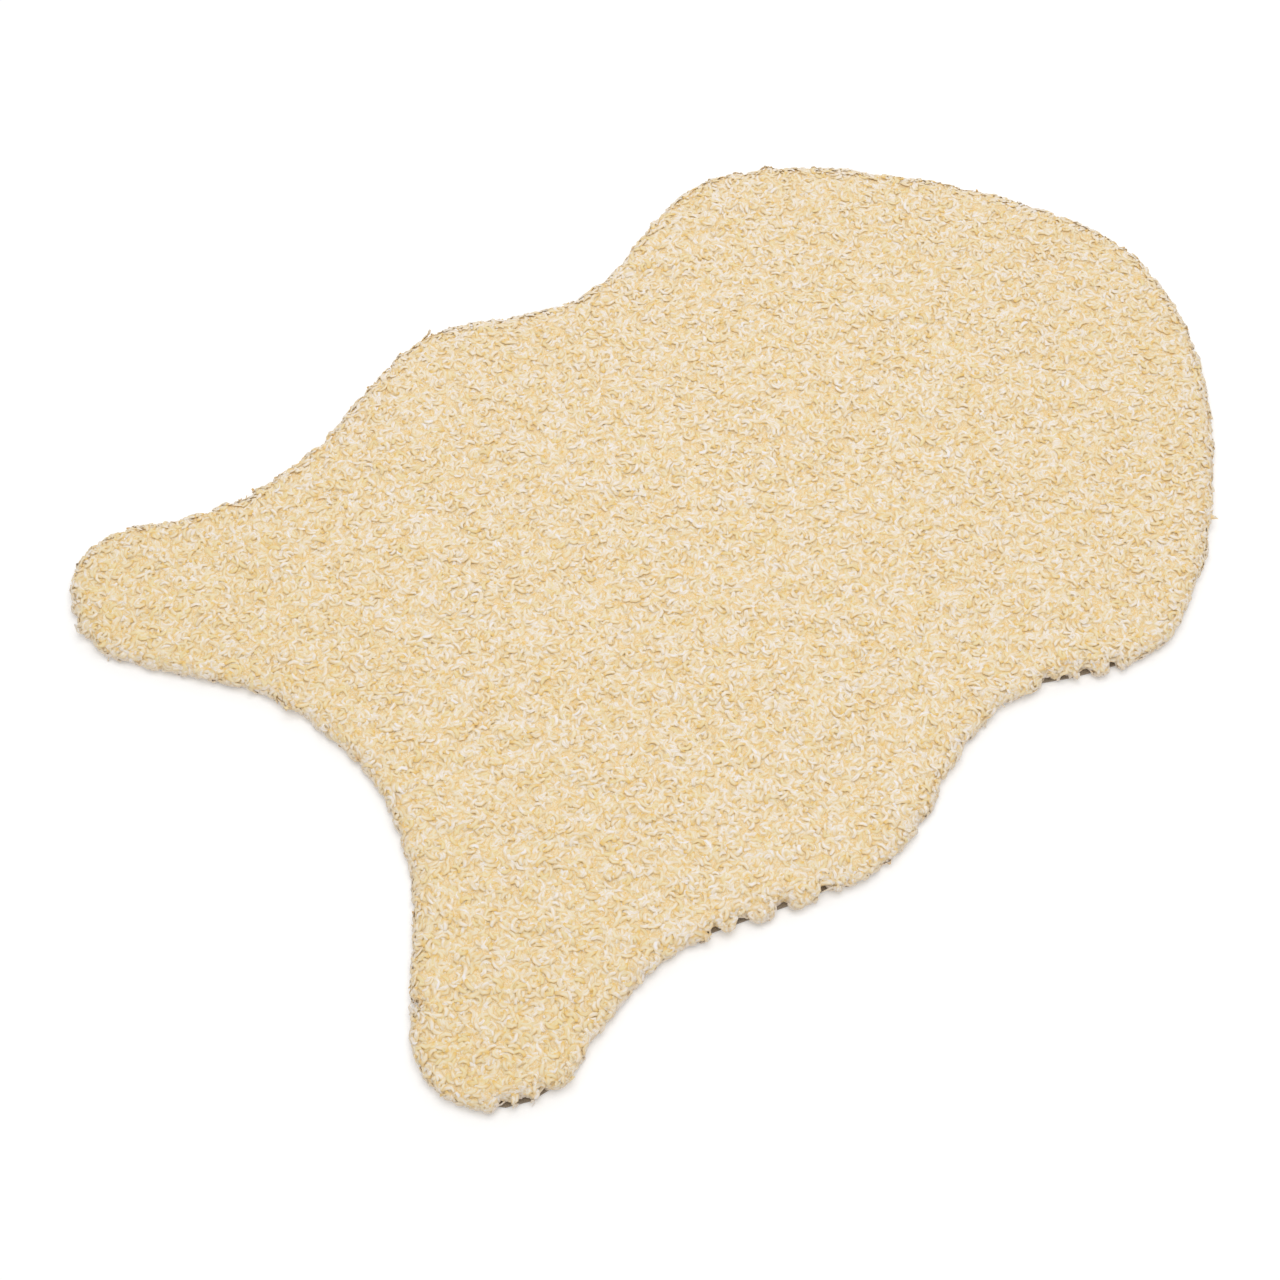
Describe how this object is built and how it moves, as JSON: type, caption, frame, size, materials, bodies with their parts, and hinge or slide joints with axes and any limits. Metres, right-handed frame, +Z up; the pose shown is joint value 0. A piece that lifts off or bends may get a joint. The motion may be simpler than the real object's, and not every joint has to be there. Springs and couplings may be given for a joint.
{
  "type": "faux fur rug",
  "caption": "Small pelt-shaped faux fur rug lying flat: a short curly cream pile with an uneven rim, standing on a thin ground cloth cut to the same outline.",
  "frame": {"origin": "on the floor, under the middle of the rug", "axes": "+Y along the rug towards its round head end, +X to the right of it, +Z up through the pile"},
  "size_m": [0.5769, 0.8618, 0.0181],
  "materials": {
    "ground_cloth": "matt taupe knitted ground cloth with a cut edge",
    "curly_pile": "soft cream curly acrylic pile, honey coloured towards its roots"
  },
  "bodies": {
    "root": {"ground_cloth": "ground_cloth", "curly_pile": "curly_pile"}
  },
  "joints": []
}
